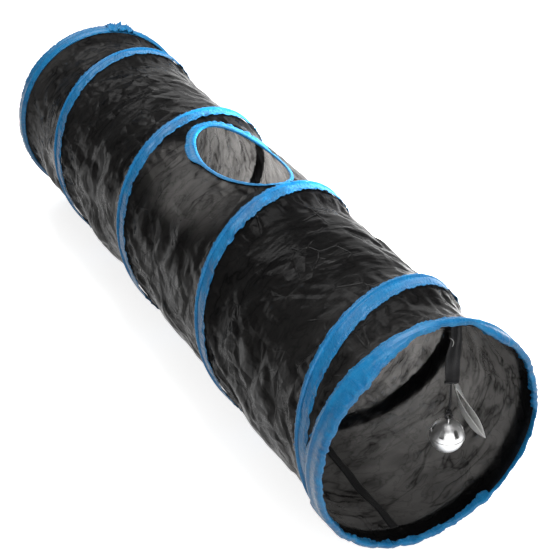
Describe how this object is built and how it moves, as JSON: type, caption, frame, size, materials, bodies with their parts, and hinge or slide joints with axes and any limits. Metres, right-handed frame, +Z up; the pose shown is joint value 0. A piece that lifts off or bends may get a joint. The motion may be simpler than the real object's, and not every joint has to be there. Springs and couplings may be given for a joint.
{
  "type": "collapsible pet play tunnel",
  "caption": "Round fabric play tunnel for a small pet: spring wire spiral and end hoops in taped casings, a bound peephole on top and a bell hanging in the mouth.",
  "frame": {"origin": "on the floor, under the middle of the tunnel", "axes": "+X along the tunnel towards the mouth with the bell, +Z up, +Y to the mouth's right as seen from outside looking in"},
  "size_m": [0.881, 0.25, 0.2485],
  "materials": {
    "tube_fabric": "thin crumpled taffeta with a slight sheen",
    "blue_tape": "puckered satin binding tape",
    "black_tape": "matt woven tape",
    "black_ribbon": "matt ribbed ribbon",
    "spring_steel": "drawn wire",
    "ferrule_alloy": "crimped sleeve",
    "black_elastic": "braided elastic cord",
    "bell_chrome": "polished plate",
    "pellet_steel": "rolled ball",
    "label_satin": "blank satin label"
  },
  "bodies": {
    "mouth_end": {"fabric_tube": "tube_fabric", "lengthwise_seam_tape": "black_tape", "peephole_binding": "blue_tape", "coil_wire": "spring_steel", "coil_casing_1": "blue_tape", "coil_casing_2": "blue_tape", "coil_casing_3": "blue_tape", "coil_casing_4": "blue_tape", "mouth_hoop_wire": "spring_steel", "mouth_ferrule": "ferrule_alloy", "mouth_rim_binding": "blue_tape"},
    "far_end": {"far_hoop_wire": "spring_steel", "far_ferrule": "ferrule_alloy", "far_rim_binding": "blue_tape", "far_binding_join": "blue_tape"},
    "ribbon": {"bell_ribbon": "black_ribbon"},
    "cord": {"bell_cord": "black_elastic", "bell_cord_knot": "black_elastic"},
    "bell": {"bell_upper_shell": "bell_chrome", "bell_lower_shell": "bell_chrome", "bell_loop": "bell_chrome"},
    "pellet": {"bell_pellet": "pellet_steel"},
    "label": {"care_label": "label_satin"}
  },
  "joints": [
    {"name": "tunnel_collapse", "type": "slide", "parent": "mouth_end", "child": "far_end", "axis": [1, 0, 0], "range_m": [0, 0.82], "stiffness_N_per_m": 15, "springref_m": -0.2, "deforming": ["fabric_tube", "lengthwise_seam_tape", "peephole_binding", "coil_wire", "coil_casing_1", "coil_casing_2", "coil_casing_3", "coil_casing_4"]},
    {"name": "ribbon_swing", "type": "hinge", "parent": "mouth_end", "child": "ribbon", "pos_m": [0.421, 0.0296, 0.232], "axis": [0.4384, 0.8988, 0], "range_deg": [-45, 30]},
    {"name": "cord_swing", "type": "hinge", "parent": "ribbon", "child": "cord", "pos_m": [0.421, 0.0296, 0.17075], "axis": [0.8988, -0.4384, 0], "range_deg": [-45, 12]},
    {"name": "bell_tilt", "type": "hinge", "parent": "cord", "child": "bell", "pos_m": [0.421, 0.0296, 0.13045], "axis": [0.4384, 0.8988, 0], "range_deg": [-35, 35]},
    {"name": "pellet_roll", "type": "hinge", "parent": "bell", "child": "pellet", "pos_m": [0.421, 0.0296, 0.1107], "axis": [1, 0, 0], "range_deg": [-50, 50]},
    {"name": "label_flap", "type": "hinge", "parent": "cord", "child": "label", "pos_m": [0.41781, 0.03561, 0.1685], "axis": [0.8988, -0.4384, 0], "range_deg": [-3, 11], "stiffness_Nm_per_rad": 0.002, "springref_deg": 1.72}
  ]
}
